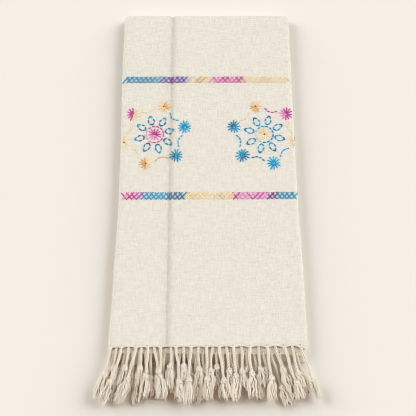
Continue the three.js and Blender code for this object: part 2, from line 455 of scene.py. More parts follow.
    def on_face(self, y: float, across: np.ndarray, lift: np.ndarray) -> np.ndarray:
        """Return points on the front of the folded shawl.

        Args:
            y: The place along the cloth.
            across: Distances across the flat cloth from x = 0, which run on round the sides.
            lift: Heights above the cloth.
        """
        return self.over(self.front_place(y), across, lift)

    def over(self, place: Place, across: np.ndarray, lift: np.ndarray | float) -> np.ndarray:
        """Return points over a section's right side.

        Args:
            place: The section's place along the strip.
            across: Distances across the flat cloth from x = 0.
            lift: Heights above the cloth.
        """
        x, n, out_x, out_n, flat = self.section(place)
        reach = self.ply / 2 + lift
        over_x = np.interp(across, flat, x) + np.interp(across, flat, out_x) * reach
        over_n = np.interp(across, flat, n) + np.interp(across, flat, out_n) * reach
        return self.points(place, over_x, over_n)


class Graph:
    """A node tree that is being built, with short ways to add and join its nodes."""

    def __init__(self, tree: bpy.types.NodeTree) -> None:
        """Keep the tree and start with no nodes."""
        self.tree = tree
        tree.nodes.clear()

    def add(self, kind: str, inputs: dict | None = None, **settings: object) -> bpy.types.Node:
        """Add a node.

        Args:
            kind: The node's type name.
            inputs: Values or sockets for its inputs, by name or number.
            settings: Properties of the node.

        Returns:
            The new node.
        """
        node = self.tree.nodes.new(kind)
        for name, value in settings.items():
            setattr(node, name, value)
        for key, value in (inputs or {}).items():
            if isinstance(value, bpy.types.NodeSocket):
                self.tree.links.new(value, node.inputs[key])
            else:
                node.inputs[key].default_value = value
        return node

    def math(self, operation: str, *values: Socket | float, clamp: bool = False) -> Socket:
        """Add a Math node and return its result."""
        node = self.add("ShaderNodeMath", dict(enumerate(values)), operation=operation, use_clamp=clamp)
        return node.outputs[0]

    def times(self, *factors: Socket | float) -> Socket:
        """Return the product of numbers."""
        return reduce(partial(self.math, "MULTIPLY"), factors)

    def plus(self, *terms: Socket | float) -> Socket:
        """Return the sum of numbers."""
        return reduce(partial(self.math, "ADD"), terms)

    def vector(self, operation: str, *values: Socket | Triple) -> Socket:
        """Add a Vector Math node and return its vector."""
        return self.add("ShaderNodeVectorMath", dict(enumerate(values)), operation=operation).outputs[0]

    def scaled(self, vector: Socket | Triple, amount: Socket | float) -> Socket:
        """Return a vector times a number."""
        inputs = {"Vector": vector, "Scale": amount}
        return self.add("ShaderNodeVectorMath", inputs, operation="SCALE").outputs[0]

    def parts(self, vector: Socket) -> Sequence[Socket]:
        """Return a vector's three parts."""
        return self.add("ShaderNodeSeparateXYZ", {"Vector": vector}).outputs

    def joined(self, x: Socket | float, y: Socket | float, z: Socket | float) -> Socket:
        """Return the vector of three numbers."""
        return self.add("ShaderNodeCombineXYZ", {"X": x, "Y": y, "Z": z}).outputs[0]

    def noise(
        self, vector: Socket, scale: float, detail: float, roughness: float = 0.5
    ) -> Sequence[Socket]:
        """Return the outputs of a noise.

        Args:
            vector: Where it is taken.
            scale: How fast it changes.
            detail: How many finer layers it has.
            roughness: How strong they are.
        """
        inputs = {"Vector": vector, "Scale": scale, "Detail": detail, "Roughness": roughness}
        return self.add("ShaderNodeTexNoise", inputs).outputs

    def ranged(
        self, value: Socket, low: float, high: Socket | float, least: float = 0.0, soft: bool = True
    ) -> Socket:
        """Return how far a value is on its way from low to high.

        Args:
            value: The value.
            low: Where the result is least.
            high: Where the result is 1.
            least: The least result.
            soft: Whether it starts and ends softly.
        """
        kind = "SMOOTHSTEP" if soft else "LINEAR"
        inputs = {"Value": value, "From Min": low, "From Max": high, "To Min": least}
        return self.add("ShaderNodeMapRange", inputs, interpolation_type=kind).outputs[0]

    def store(self, geometry: Socket, name: str, value: Socket, kind: str = "FLOAT") -> Socket:
        """Return the geometry with a value kept at its points."""
        inputs = {"Geometry": geometry, "Name": name, "Value": value}
        return self.add("GeometryNodeStoreNamedAttribute", inputs, data_type=kind, domain="POINT").outputs[0]

    def stored(self, name: str, kind: str = "FLOAT") -> Socket:
        """Return the value that a geometry's points keep."""
        node = self.add("GeometryNodeInputNamedAttribute", {"Name": name}, data_type=kind)
        return node.outputs["Attribute"]

    def painted(self, name: str, output: str = "Color") -> Socket:
        """Return the value that a mesh's points keep, in its material."""
        node = self.add("ShaderNodeAttribute", attribute_type="GEOMETRY", attribute_name=name)
        return node.outputs[output]

    def finish(self, looks: dict) -> None:
        """Add the shader and the material's output."""
        shader = self.add("ShaderNodeBsdfPrincipled", looks)
        self.add("ShaderNodeOutputMaterial", {"Surface": shader.outputs[0]})


def new_material(name: str) -> tuple[Material, Graph]:
    """Make a material whose nodes are still to be added."""
    made = bpy.data.materials.new(name)
    made.use_nodes = True
    return made, Graph(made.node_tree)


def new_object(name: str, data: bpy.types.ID) -> Object:
    """Make an object in the scene."""
    obj = bpy.data.objects.new(name, data)
    bpy.context.scene.collection.objects.link(obj)
    return obj


class PathTree:
    """Geometry nodes that turn the edges of a mesh into yarn."""

    def __init__(self, name: str, sizes: dict[str, float | int]) -> None:
        """Start a tree with named sizes.

        Args:
            name: The tree's name.
            sizes: Each input's name with its value, in metres where it is a length.
        """
        self.tree = bpy.data.node_groups.new(name, "GeometryNodeTree")
        self.graph = Graph(self.tree)
        face = self.tree.interface
        for way in ("INPUT", "OUTPUT"):
            face.new_socket("Geometry", in_out=way, socket_type="NodeSocketGeometry")
        self.values: dict[str, float | int] = {}
        for key, value in sizes.items():
            kind = "NodeSocketInt" if isinstance(value, int) else "NodeSocketFloat"
            socket = face.new_socket(key, in_out="INPUT", socket_type=kind)
            self.values[socket.identifier] = value
        self.finish_socket = face.new_socket("Finish", in_out="INPUT", socket_type="NodeSocketMaterial")
        self.inputs = self.graph.add("NodeGroupInput").outputs
        self.girth = self.graph.stored(GIRTH)

    def curves(self) -> Socket:
        """Return the incoming edges as curves."""
        return self.graph.add("GeometryNodeMeshToCurve", {"Mesh": self.inputs["Geometry"]}).outputs["Curve"]

    def copies(self, amount: Socket, mode: str, pace: dict[str, Socket]) -> Sequence[Socket]:
        """Return copies of each curve, evenly divided, which keep their points' places as their axis.

        Args:
            amount: The number of copies.
            mode: How the curves are divided: "LENGTH" or "COUNT".
            pace: The length of a part, or the number of points.
        """
        g = self.graph
        even = g.add("GeometryNodeResampleCurve", {"Curve": self.curves(), **pace}, mode=mode).outputs[0]
        place = g.add("GeometryNodeInputPosition").outputs[0]
        marked = g.store(even, AXIS, place, "FLOAT_VECTOR")
        inputs = {"Geometry": marked, "Amount": amount}
        return g.add("GeometryNodeDuplicateElements", inputs, domain="SPLINE").outputs

    def mark_groove_shade(self, mesh: Socket, reach: Socket) -> Socket:
        """Return the tubes with a mask at each vertex for painted shade in the grooves: 0 in the cord's
        middle, 1 on its outside.

        Args:
            mesh: The tubes.
            reach: How far the outside lies from the axis.
        """
        g = self.graph
        ends = {0: g.add("GeometryNodeInputPosition").outputs[0], 1: g.stored(AXIS, "FLOAT_VECTOR")}
        away = g.add("ShaderNodeVectorMath", ends, operation="DISTANCE").outputs["Value"]
        return g.store(mesh, GROOVE_SHADE_MASK, g.math("DIVIDE", away, reach, clamp=True))

    def close(self, curve: Socket, radius: Socket, reach: Socket | None = None) -> None:
        """Give the curves their thickness and finish the tree.

        Args:
            curve: The curves of the single yarns.
            radius: Their radius.
            reach: How far a cord's outside lies from its middle, for the painted shade that darkens its
                grooves.
        """
        g = self.graph
        ring = g.add("GeometryNodeCurvePrimitiveCircle", {"Resolution": self.inputs["Sides"], "Radius": 1.0})
        tube = {"Curve": curve, "Profile Curve": ring.outputs["Curve"], "Scale": radius, "Fill Caps": True}
        mesh = g.add("GeometryNodeCurveToMesh", tube).outputs["Mesh"]
        if reach is not None:
            mesh = self.mark_groove_shade(mesh, reach)
        soft = g.add("GeometryNodeSetShadeSmooth", {"Geometry": mesh}).outputs[0]
        real = g.add("GeometryNodeRealizeInstances", {"Geometry": soft}).outputs[0]
        dyed = g.add("GeometryNodeSetMaterial", {"Geometry": real, "Material": self.inputs["Finish"]})
        g.add("NodeGroupOutput", {"Geometry": dyed.outputs[0]})

    def make(self, obj: Object, finish: Material) -> None:
        """Replace an object's edges by the yarn that this tree makes of them.

        Args:
            obj: The object whose mesh holds the paths.
            finish: The yarn's material.
        """
        modifier = obj.modifiers.new("yarn", "NODES")
        modifier.node_group = self.tree
        for identifier, value in self.values.items():
            modifier[identifier] = value
        modifier[self.finish_socket.identifier] = finish
        graph = bpy.context.evaluated_depsgraph_get()
        made = bpy.data.meshes.new_from_object(
            obj.evaluated_get(graph), preserve_all_data_layers=True, depsgraph=graph
        )
        obj.modifiers.clear()
        obj.data = made


@dataclass(frozen=True)
class SewnThread:
    """Embroidery thread that follows each path on the cloth."""

    radius: float = 0.86
    sides: int = 7

    def tree(self) -> PathTree:
        """Build the tree: each path becomes one round thread."""
        made = PathTree("sewn_thread", {"Radius": self.radius * MM, "Sides": self.sides})
        made.close(made.curves(), made.graph.times(made.inputs["Radius"], made.girth))
        return made


@dataclass(frozen=True)
class TwistedCord:
    """A cord of plies that turn round each other."""

    plies: int = 2
    ply_radius: float = 1.12
    ply_offset: float = 1.08
    turn_length: float = 6.8
    step: float = 0.75
    sides: int = 7

    def tree(self) -> PathTree:
        """Build the tree: each path becomes its plies, wound round it."""
        sizes = {
            "Plies": self.plies,
            "Ply radius": self.ply_radius * MM,
            "Ply offset": self.ply_offset * MM,
            "Turn length": self.turn_length * MM,
            "Step": self.step * MM,
            "Sides": self.sides,
        }
        made = PathTree("twisted_cord", sizes)
        g, inputs = made.graph, made.inputs
        copies = made.copies(inputs["Plies"], "LENGTH", {"Length": inputs["Step"]})
        length = g.add("GeometryNodeSplineParameter").outputs["Length"]
        turns = g.math("DIVIDE", length, inputs["Turn length"])
        share = g.math("DIVIDE", copies["Duplicate Index"], inputs["Plies"])
        angle = g.times(g.plus(turns, share), math.tau)
        normal = g.add("GeometryNodeInputNormal").outputs[0]
        tangent = g.add("GeometryNodeInputTangent").outputs[0]
        side = g.vector("CROSS_PRODUCT", tangent, normal)
        out = g.vector(
            "ADD", g.scaled(normal, g.math("COSINE", angle)), g.scaled(side, g.math("SINE", angle))
        )
        offset = g.scaled(out, g.times(inputs["Ply offset"], made.girth))
        moved = g.add("GeometryNodeSetPosition", {"Geometry": copies["Geometry"], "Offset": offset})
        full = g.times(g.plus(inputs["Ply offset"], inputs["Ply radius"]), made.girth)
        made.close(moved.outputs[0], g.times(inputs["Ply radius"], made.girth), full)
        return made


@dataclass(frozen=True)
class BrushOfYarns:
    """The loose yarn ends of a tassel."""

    yarns: int = 28
    yarn_radius: float = 0.78
    neck: float = 2.6
    wide: float = 6.2
    high: float = 3.2
    opens_over: float = 0.36
    wave: float = 1.9
    waves: float = 5.6
    ragged: float = 5.5
    points: int = 12
    sides: int = 5
    seed: int = 7
    sway: float = 4
    high_sway: float = 0.45
    yarns_apart: float = 7.31
    ends_thin: float = 0.45
    thin_power: float = 6
    shortened: tuple[float, float] = (-1, 0.35)
    thickness: tuple[float, float] = (0.75, 1.2)
    groove_shade_spread: tuple[float, float] = (0.85, 1.65)

    def tree(self) -> PathTree:
        """Build the tree: each path becomes a brush of wavy yarns that opens from its neck."""
        sizes = {
            "Yarns": self.yarns,
            "Yarn radius": self.yarn_radius * MM,
            "Neck": self.neck * MM,
            "Half width": self.wide * MM,
            "Half height": self.high * MM,
            "Opens over": self.opens_over,
            "Wave": self.wave * MM,
            "Waves": self.waves,
            "Ragged": self.ragged * MM,
            "Points": self.points,
            "Sides": self.sides,
            "Seed": self.seed,
        }
        made = PathTree("brush_of_yarns", sizes)
        g, inputs = made.graph, made.inputs
        copies = made.copies(inputs["Yarns"], "COUNT", {"Count": inputs["Points"]})
        index = g.add("GeometryNodeInputIndex").outputs[0]
        number = g.add(
            "GeometryNodeFieldOnDomain", {"Value": index}, domain="CURVE", data_type="INT"
        ).outputs[0]

        def chance(draw: int, low: float, high: float) -> Socket:
            """Return a random number for each yarn."""
            seed = g.plus(inputs["Seed"], float(draw))
            ends = {"ID": number, "Seed": seed, 2: low, 3: high}
            return g.add("FunctionNodeRandomValue", ends, data_type="FLOAT").outputs[1]

        t = g.add("GeometryNodeSplineParameter").outputs["Factor"]
        tangent = g.add("GeometryNodeInputTangent").outputs[0]
        side = g.vector("NORMALIZE", g.vector("CROSS_PRODUCT", tangent, (0, 0, 1)))
        up = g.vector("CROSS_PRODUCT", side, tangent)
        opened = g.ranged(t, 0.0, inputs["Opens over"])

        def reach(full: Socket) -> Socket:
            """Return how far the brush goes from its middle in one direction."""
            return g.plus(inputs["Neck"], g.times(opened, g.math("SUBTRACT", full, inputs["Neck"])))

        turn = chance(0, 0, math.tau)
        out = g.math("SQRT", chance(1, 0.03, 1))
        across = g.times(g.math("COSINE", turn), reach(inputs["Half width"]), out)
        above = g.times(g.math("SINE", turn), reach(inputs["Half height"]), out)
        spread = g.scaled(g.vector("ADD", g.scaled(side, across), g.scaled(up, above)), made.girth)
        where = g.joined(g.times(t, inputs["Waves"]), g.times(number, self.yarns_apart), 0.5)
        swing = g.vector("SUBTRACT", g.noise(where, 1.0, 0.0)["Color"], (0.5, 0.5, 0.5))
        swing = g.vector("MULTIPLY", g.scaled(swing, self.sway), (1.0, 1.0, self.high_sway))
        swing = g.scaled(swing, g.times(inputs["Wave"], opened))
        longer = g.scaled(tangent, g.times(chance(2, *self.shortened), inputs["Ragged"], t))
        offset = g.vector("ADD", g.vector("ADD", spread, swing), longer)
        place = g.add("GeometryNodeInputPosition").outputs[0]
        x, y, z = g.parts(g.vector("ADD", place, offset))
        where = g.joined(x, y, g.math("MAXIMUM", z, inputs["Yarn radius"]))
        moved = g.add("GeometryNodeSetPosition", {"Geometry": copies["Geometry"], "Position": where})
        thin = g.math("SUBTRACT", 1.0, g.times(g.math("POWER", t, self.thin_power), self.ends_thin))
        radius = g.times(inputs["Yarn radius"], thin, chance(3, *self.thickness))
        # How deep the tassel's painted shade reaches varies from tassel to tassel.
        full = g.times(reach(inputs["Half height"]), chance(4, *self.groove_shade_spread))
        made.close(g.store(moved.outputs[0], REACH, full), radius, g.stored(REACH))
        return made


@dataclass
class PathMesh:
    """Paths with their thickness and tone, gathered before they become yarn."""

    name: str

    def __post_init__(self) -> None:
        """Start with no paths."""
        self.verts: list[Sequence[float]] = []
        self.edges: list[tuple[int, int]] = []
        self.girths: list[float] = []
        self.tones: list[Sequence[float]] = []

    def add(self, points: np.ndarray, girth: float | np.ndarray, tone: Sequence[float] | np.ndarray) -> None:
        """Add one path.

        Args:
            points: Its points, in millimetres.
            girth: Its thickness, as one number or one for each point.
            tone: Its colour, as one colour or one for each point.
        """
        first = len(self.verts)
        count = len(points)
        self.verts += (np.asarray(points) * MM).tolist()
        self.edges += [(first + k, first + k + 1) for k in range(count - 1)]
        self.girths += np.broadcast_to(girth, count).tolist()
        self.tones += np.broadcast_to(tone, (count, 4)).tolist()

    def build(self, tree: PathTree, finish: Material) -> Object:
        """Make the object and turn its paths into yarn.

        Args:
            tree: The geometry nodes that make the yarn.
            finish: The yarn's material.

        Returns:
            The finished object.
        """
        mesh = bpy.data.meshes.new(self.name)
        mesh.from_pydata(self.verts, self.edges, [])
        mesh.attributes.new(GIRTH, "FLOAT", "POINT").data.foreach_set("value", self.girths)
        tones = mesh.attributes.new(TONE, "FLOAT_COLOR", "POINT")
        tones.data.foreach_set("color", np.asarray(self.tones).ravel())
        obj = new_object(self.name, mesh)
        tree.make(obj, finish)
        obj.data.name = self.name
        return obj


def join(objects: Sequence[Object], name: str) -> Object:
    """Join finished objects into the first of them, and name it.

    Args:
        objects: The objects, all of one material.
        name: The joined object's name.

    Returns:
        The joined object.
    """
    with bpy.context.temp_override(active_object=objects[0], selected_editable_objects=list(objects)):
        bpy.ops.object.join()
    objects[0].name = name
    objects[0].data.name = name
    return objects[0]


@dataclass(frozen=True)
class WoolFinish:
    """Plain-woven cream wool, with slubs along both sets of yarns."""

    name: str = "woven_wool"
    pale: tuple[int, int, int] = (242, 237, 226)
    deep: tuple[int, int, int] = (219, 212, 198)
    yarn_pitch: float = 1.15
    wander: float = 2.6
    wander_scale: tuple[float, float, float] = (90, 90, 0)
    warp: tuple[float, float, float] = (900, 70, 0)
    weft: tuple[float, float, float] = (60, 900, 0)
    blotch: tuple[float, float, float] = (210, 210, 0)
    fuzz: tuple[float, float, float] = (2600, 2600, 0)
    rib_share: float = -0.3
    blotch_share: float = 0.7
    weave_share: float = 0.05
    shade_from: float = 0.36
    shade_to: float = 0.6
    weave_height: float = 0.1
    slub_height: float = 0.3
    fuzz_height: float = 0.12

    def material(self) -> Material:
        """Build the material on the flat cloth's own coordinates."""
        made, g = new_material(self.name)
        uv = g.add("ShaderNodeUVMap", uv_map=FLAT_UV).outputs[0]

        def cloud(scale: Triple, detail: float, roughness: float = 0.5) -> Sequence[Socket]:
            """Return noise that changes at its own rate across and along the cloth."""
            return g.noise(g.vector("MULTIPLY", uv, scale), 1.0, detail, roughness)

        flat = g.parts(g.scaled(uv, 1 / MM))
        drift = g.parts(g.vector("SUBTRACT", cloud(self.wander_scale, 2.0)["Color"], (0.5, 0.5, 0.5)))
        across, along = (
            g.times(g.plus(flat[i], g.times(drift[i], self.wander)), math.pi / self.yarn_pitch)
            for i in (0, 1)
        )
        over = g.times(g.math("SINE", across), g.math("SINE", along))
        ribs = g.plus(*(g.math("COSINE", g.times(turn, 2)) for turn in (across, along)))
        weave = g.plus(over, g.times(ribs, self.rib_share))
        warp, weft, blotch = (cloud(scale, 3.0, 0.6)["Fac"] for scale in (self.warp, self.weft, self.blotch))
        grain = g.plus(warp, weft, g.times(blotch, self.blotch_share))
        grain = g.math("DIVIDE", grain, 2 + self.blotch_share)
        ramp = g.add("ShaderNodeValToRGB", {"Fac": g.plus(g.times(weave, self.weave_share), grain)})
        ends = ((self.shade_from, self.deep), (self.shade_to, self.pale))
        for stop, (position, colour) in zip(ramp.color_ramp.elements, ends):
            stop.position = position
            stop.color = linear(*colour)
        height = g.plus(
            g.times(weave, self.weave_height),
            g.times(grain, self.slub_height * 3),
            g.times(cloud(self.fuzz, 2.0)["Fac"], self.fuzz_height),
        )
        # The base colour is multiplied by the painted shade that the cloth's mesh carries.
        g.finish(
            {
                "Base Color": g.vector("MULTIPLY", ramp.outputs[0], g.painted(SHADE)),
                "Roughness": 0.92,
                "Specular IOR Level": 0.25,
                "Sheen Weight": 0.18,
                "Sheen Roughness": 0.6,
                "Normal": g.add(
                    "ShaderNodeBump", {"Strength": 0.55, "Distance": MM, "Height": height}
                ).outputs[0],
            }
        )
        return made


@dataclass(frozen=True)
class YarnFinish:
    """Yarn that takes its colour from the tone that it carries, with fine fibres and, where a tint is given,
    painted shade in its grooves.
    """

    name: str
    roughness: float = 0.9
    sheen: float = 0.15
    fibre: float = 0.3
    darkest: float = 0.9
    gloss: float = 0.15
    groove_shade_tint: Triple | None = None
    fibre_scale: float = 1900
    cloud_scale: float = 260
    groove_shade_from: float = 0.3
    groove_shade_to: float = 0.9

    def material(self) -> Material:
        """Build the material on Object coordinates and the tone attribute."""
        made, g = new_material(self.name)
        place = g.add("ShaderNodeTexCoord").outputs["Object"]
        fibres = g.noise(place, self.fibre_scale, 3.0, 0.65)["Fac"]
        both = g.plus(g.times(fibres, 0.5), g.times(g.noise(place, self.cloud_scale, 2.0)["Fac"], 0.5))
        colour = g.scaled(g.painted(TONE), g.ranged(both, 0.35, 0.65, self.darkest, soft=False))
        # Painted shade: the yarn is darker towards each cord's middle, where its plies and yarns would shade
        # each other.
        if self.groove_shade_tint:
            lit = g.ranged(g.painted(GROOVE_SHADE_MASK, "Fac"), self.groove_shade_from, self.groove_shade_to)
            ends = {"Factor": lit, 4: self.groove_shade_tint, 5: (1, 1, 1)}
            tint = g.add("ShaderNodeMix", ends, data_type="VECTOR").outputs[1]
            colour = g.vector("MULTIPLY", colour, tint)
        bump = {"Strength": 0.5, "Distance": self.fibre * MM, "Height": fibres}
        g.finish(
            {
                "Base Color": colour,
                "Roughness": self.roughness,
                "Specular IOR Level": self.gloss,
                "Sheen Weight": self.sheen,
                "Sheen Roughness": 0.5,
                "Normal": g.add("ShaderNodeBump", bump).outputs[0],
            }
        )
        return made


@dataclass
class WovenCloth:
    """The whole strip of cloth on the folds of its solid."""

    form: ClothForm
    # Painted shadow of the fringe on the lower fold, as a tint with the sizes of its mask.
    painted_fringe_shadow: Triple = (0.13, 0.07, 0.035)
    fringe_shadow_from: float = 8
    under_height: float = 12
    lip: float = 5
    lip_light: float = 0.6
    light_from: float = -30
    light_over: float = 120
    right_light: float = 0.66
    streaks: float = 0.32
    streak_length: float = 7.1
    streak_bend: float = 1.2
    bend_length: float = 3.7
    # Painted shadow line on the back ply, just below the front hem's edge.
    painted_hem_shadow: Triple = (0.42, 0.27, 0.16)
    hem_shadow_reach: float = 1.2
    # Painted shade along the crease of the front, a little to its right.
    painted_crease_shade: Triple = (0.89, 0.875, 0.85)
    crease_shade_reach: float = 6
    crease_shade_aside: float = 1

    def fringe_shadow_at(self, place: Place, x: np.ndarray) -> np.ndarray:
        """Return how much painted shadow of the fringe the cloth takes at x, from 0 to 1: darkest under the
        cords, lighter at the lower fold's lip and towards the right, in streaks across.
        """
        out = self.form.front_hem - place.y
        if place.z >= self.under_height:
            return np.zeros_like(x)
        lip = smooth(clamp01((out - self.form.lower_fold_out + self.lip) / self.lip))
        painted_shade_beneath = smooth(clamp01(out / self.fringe_shadow_from - 1)) * (1 - self.lip_light * lip)
        side = 1 - self.right_light * np.clip((x - self.light_from) / self.light_over, 0, 1)
        # Painted streaks of shadow, as if cast by the cords.
        cords = np.sin(x / self.streak_length + self.streak_bend * np.sin(x / self.bend_length))
        return painted_shade_beneath * side * (1 - self.streaks + self.streaks * cords)

    def shades_at(self, place: Place, x: np.ndarray) -> np.ndarray:
        """Return the cloth's painted shade at points of a section: the fringe's shadow, a shadow line below
        the front hem and shade in the crease.

        Args:
            place: The section's place along the strip.
            x: The points' places across the cloth.
        """
        form = self.form
        front = form.hem_place(0)
        past_edge = form.front_hem - place.y + (front.tilt - place.tilt) * x + form.hem_scallop(front, x)
        # Painted shadow line that the front hem would cast on the back ply.
        line = np.exp(-((past_edge / self.hem_shadow_reach - 1) ** 2)) * (place.hem == "back")
        # Painted shade in the crease, which deepens the crease's own shading.
        crease_shade = place.soft * np.exp(-(((x - form.crease_x - self.crease_shade_aside) / self.crease_shade_reach) ** 2))
        tint = np.ones((len(x), 3))
        for share, shade_tint in (
            (self.fringe_shadow_at(place, x), self.painted_fringe_shadow),
            (line, self.painted_hem_shadow),
            (crease_shade, self.painted_crease_shade),
        ):
            tint *= 1 - np.outer(share, 1 - np.array(shade_tint))
        return np.column_stack([tint, np.ones(len(x))])

    def build(self, finish: Material) -> Object:
        """Make the closed thin sheet with the flat cloth's coordinates.

        Args:
            finish: The cloth's material.

        Returns:
            The cloth's object.
        """
        places = self.form.strip_places()
        rings, across, shades = [], [], []
        half = self.form.ply / 2
        for place in places:
            x, n, out_x, out_n, flat = self.form.section(place)
            outer = self.form.points(place, x + out_x * half, n + out_n * half)
            inner = self.form.points(place, x - out_x * half, n - out_n * half)
            tint = self.shades_at(place, x)
            rings.append(np.concatenate([outer, inner[::-1]]))
            across.append(np.concatenate([flat, flat[::-1]]))
            shades.append(np.concatenate([tint, tint[::-1]]))
        along = lengths_along(np.array([[place.y, place.z] for place in places]))
        self.flat_length = float(along[-1])
        self.flat_width = float(np.ptp(across[0]))
        size = len(rings[0])
        faces = []
        for first in range(0, (len(rings) - 1) * size, size):
            for i in range(size):
                a, b = first + i, first + (i + 1) % size
                faces.append((a, b, b + size, a + size))
        last = (len(rings) - 1) * size
        for i in range(size // 2 - 1):
            a, b, c, d = i, i + 1, size - 2 - i, size - 1 - i
            faces += [(d, c, b, a), (last + a, last + b, last + c, last + d)]
        mesh = bpy.data.meshes.new("woven_cloth")
        mesh.from_pydata((np.concatenate(rings) * MM).tolist(), [], faces)
        tints = mesh.attributes.new(SHADE, "FLOAT_COLOR", "POINT")
        tints.data.foreach_set("color", np.concatenate(shades).ravel())
        corners = np.empty(len(mesh.loops), dtype=np.int32)
        mesh.loops.foreach_get("vertex_index", corners)
        uv = np.stack([np.concatenate(across), np.repeat(along, size)], axis=1) * MM
        mesh.uv_layers.new(name=FLAT_UV).data.foreach_set("uv", uv[corners].ravel())
        mesh.shade_smooth()
        mesh.materials.append(finish)
        return new_object("woven_cloth", mesh)


@dataclass(frozen=True)
class Bed:
    """What a level of cords lies on, as heights at distances past the front hem.

    Attributes:
        early: Its height beside the hem.
        leaves: How far out it starts to sink.
        rests_at: How far out it reaches its last height.
        rest: That height.
        clear: The height that the cords keep over just past their own hem.
    """

    early: float
    leaves: float
    rests_at: float
    rest: float
    clear: float

    def height(self, s: float) -> float:
        """Return the bed's height at a distance past the front hem."""
        return mix(self.early, self.rest, smooth(clamp01((s - self.leaves) / (self.rests_at - self.leaves))))


UPPER_BED = Bed(early=9.9, leaves=27, rests_at=43, rest=5.4, clear=10.9)
LOWER_BED = Bed(early=7.1, leaves=24, rests_at=40, rest=0, clear=7.1)


@dataclass(frozen=True)
class FringeRow:
    """One row of cords, with the same names and sizes as its solid's row.

    Attributes:
        run: The run of the strip that ends in its hem.
        face: 1 for the ply on the shawl's right side, -1 for the other one.
        bed: What its cords lie on.
        between: Its cords' place from one front root, at 0, to the next, at 1.
        count: The number of its cords.
        knot_at: How far past the front hem its knots lie.
        seed: What its small changes start from.
        lift: How far its cords lie over the bed.
        drift: How far its cords lean to the right.
    """

    run: int
    face: int
    bed: Bed
    between: float
    count: int
    knot_at: float
    seed: int
    lift: float = 0
    drift: float = 0

    def varied(self, k: int, kind: int) -> float:
        """Return one kind of small change of a cord, from -1 to 1."""
        return jitter(k, self.seed + kind)


FRONT_ROWS = (
    FringeRow(run=0, face=1, bed=UPPER_BED, between=0, count=14, knot_at=43, seed=1, lift=2.2, drift=-6),
    FringeRow(run=0, face=-1, bed=UPPER_BED, between=0.5, count=13, knot_at=29, seed=2, drift=4),
)
BACK_ROWS = (
    FringeRow(run=3, face=-1, bed=LOWER_BED, between=0.75, count=13, knot_at=34, seed=3, drift=8),
    FringeRow(run=3, face=1, bed=LOWER_BED, between=0.25, count=13, knot_at=46, seed=4, lift=0.8, drift=-4),
)


@dataclass(frozen=True)
class CordLine:
    """The middle line of one cord, from its hem over its bed to its tassel's tip."""

    row: FringeRow
    k: int
    hem_y: float
    root: Triple
    lean: float
    tip: float
    half: float = 2.2
    bow: float = 1.6
    wind: float = 1.1
    wind_length: float = 6.5
    wind_step: float = 2.1
    wind_starts: float = 8
    leans_over: float = 70
    lean_bend: float = 1.2
    lifts_over: float = 12
    clears_over: float = 9

    def point(self, s: float, half: float) -> np.ndarray:
        """Return the line's point at a distance past the front hem.

        Args:
            s: The distance.
            half: Half the height of what lies there on the bed.
        """
        root_x, root_s, root_z = self.root
        out = max(0.0, s - root_s)
        bow = self.bow * self.row.varied(self.k, 30) * math.sin(math.pi * clamp01(out / (self.tip - root_s)))
        wave = math.sin(out / self.wind_length + self.k * self.wind_step) * clamp01(out / self.wind_starts)
        x = root_x + self.lean * (out / self.leans_over) ** self.lean_bend
        x += bow + self.wind * self.row.varied(self.k, 40) * wave
        rest = self.row.bed.height(s) + half + self.row.lift * clamp01(out / self.lifts_over)
        early = mix(root_z, self.row.bed.clear + half, smooth(clamp01(out / self.clears_over)))
        z = mix(early, rest, smooth(clamp01((s - root_s) / self.clears_over - 1)))
        return np.array([x, self.hem_y - s, max(z, half)])

    def points(self, start: float, end: float, count: int) -> np.ndarray:
        """Return evenly spaced points of the bare cord."""
        return np.array([self.point(float(s), self.half) for s in np.linspace(start, end, count)])


@dataclass(frozen=True)
class Knot:
    """The knot of a cord: the cord itself, wound round its own line."""

    radius: float = 2.8
    turns: float = 2.3
    half: float = 4.5
    reach: float = 3
    leaves: float = 4
    slide: float = 1.9
    slides: float = 1.9
    slide_phase: float = 0.4
    closed: float = 0.08
    roundness: float = 0.45
    flat: float = 0.92
    points: int = 22

    def path(self, line: CordLine, at: float, phase: float) -> np.ndarray:
        """Return the points of the knot's winding.

        Args:
            line: The cord's middle line.
            at: The knot's middle along it.
            phase: The angle at which the turns start.
        """
        top, bottom = line.points(at - self.reach, at + self.reach, 2)
        axis = (bottom - top) / np.linalg.norm(bottom - top)
        side = np.cross(axis, (0, 0, 1.0))
        side /= np.linalg.norm(side)
        t = np.linspace(0, 1, self.points)
        angle = phase + math.tau * self.turns * t
        out = self.radius * np.sin(math.pi * mix(self.closed, 1 - self.closed, t)) ** self.roundness
        slide = self.slide * np.cos(math.pi * self.slides * t + self.slide_phase)
        turns = line.point(at, self.half) - np.outer(slide, axis)
        turns += np.outer(out * np.cos(angle), side)
        turns += np.outer(out * np.sin(angle) * self.flat, np.cross(side, axis))
        return np.vstack([top, turns, line.point(at + self.leaves, line.half)])


